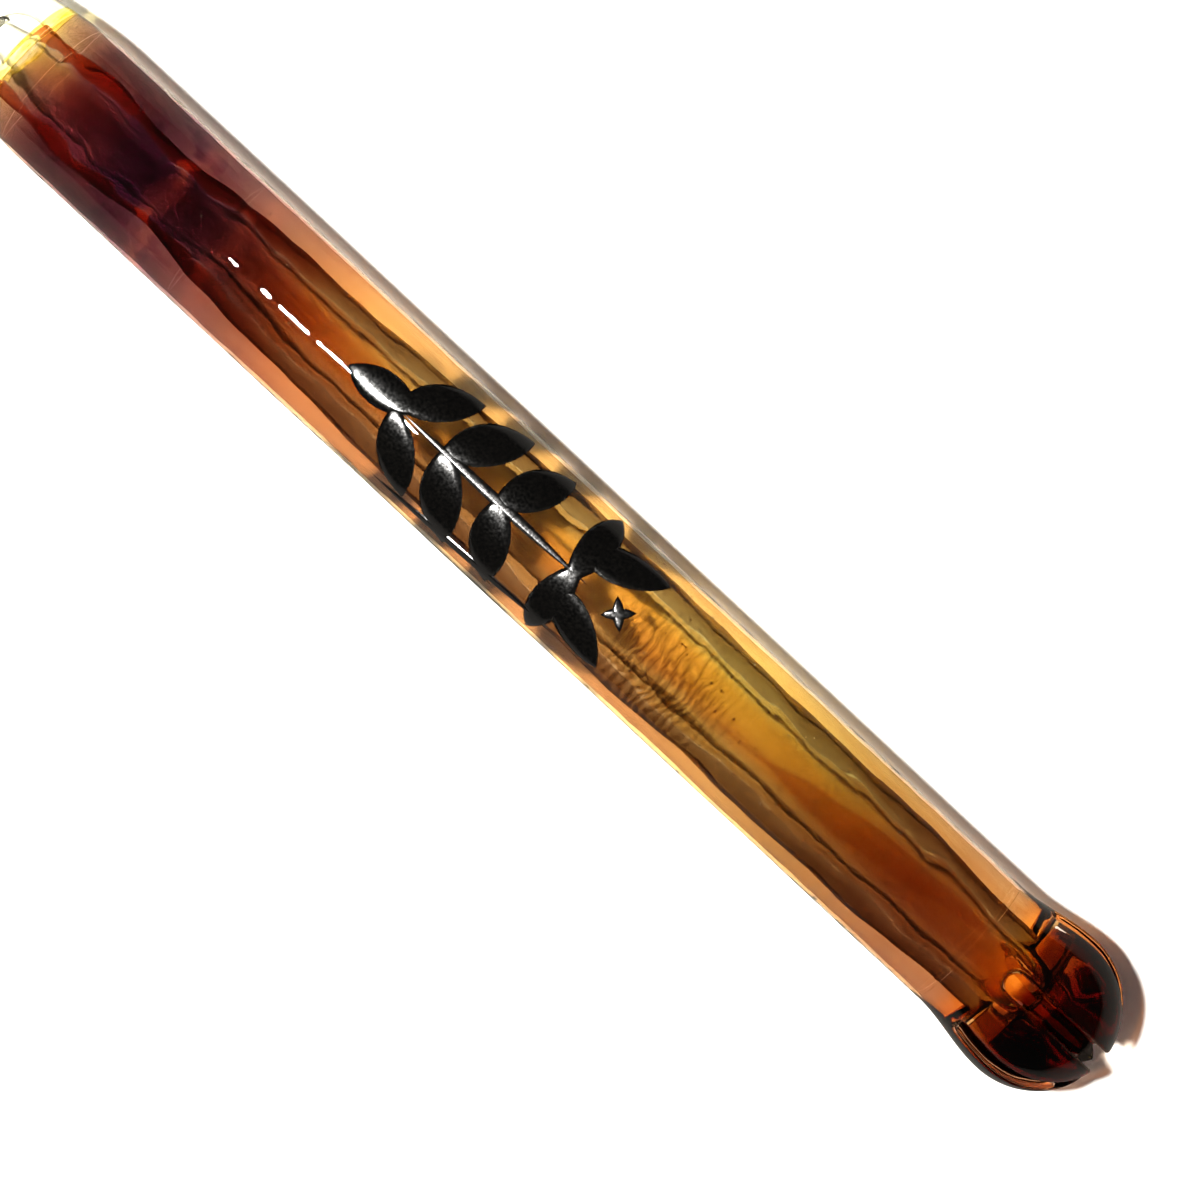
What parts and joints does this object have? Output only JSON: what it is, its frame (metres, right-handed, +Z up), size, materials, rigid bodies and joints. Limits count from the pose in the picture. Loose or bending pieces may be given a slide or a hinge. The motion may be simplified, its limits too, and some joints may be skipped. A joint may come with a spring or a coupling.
{
  "type": "glass dip pen",
  "caption": "Lampworked glass dip pen: a hollow heavy-wall tube barrel with a colour lining, a slotted bulb at one end, and a clear grip with a twisted, grooved glass nib at the other.",
  "frame": {"origin": "on the surface the pen lies on, under the middle of its length and width", "axes": "+X along the pen towards the slotted bulb, -X towards the nib's point, +Z up, with the pen's axis level"},
  "size_m": [0.1759, 0.0146, 0.0145],
  "materials": {
    "clear_glass": "flame-polished clear borosilicate glass",
    "amber_glass": "transparent amber borosilicate glass",
    "maroon_glass": "dark maroon borosilicate glass",
    "red_glass": "transparent brick red borosilicate glass",
    "green_glass": "transparent yellow-green borosilicate glass",
    "black_print": "glossy black fired print, slightly raised"
  },
  "bodies": {
    "root": {"nib": "clear_glass", "collar": "clear_glass", "grip": "clear_glass", "seam_ring": "green_glass", "red_band": "red_glass", "dark_lining": "maroon_glass", "amber_lining": "amber_glass", "barrel_casing": "clear_glass", "bulb_skin": "clear_glass", "bulb_gather": "maroon_glass", "print_leaves": "black_print", "print_bar": "black_print", "print_stem": "black_print", "print_star": "black_print", "print_stroke": "black_print"}
  },
  "joints": []
}
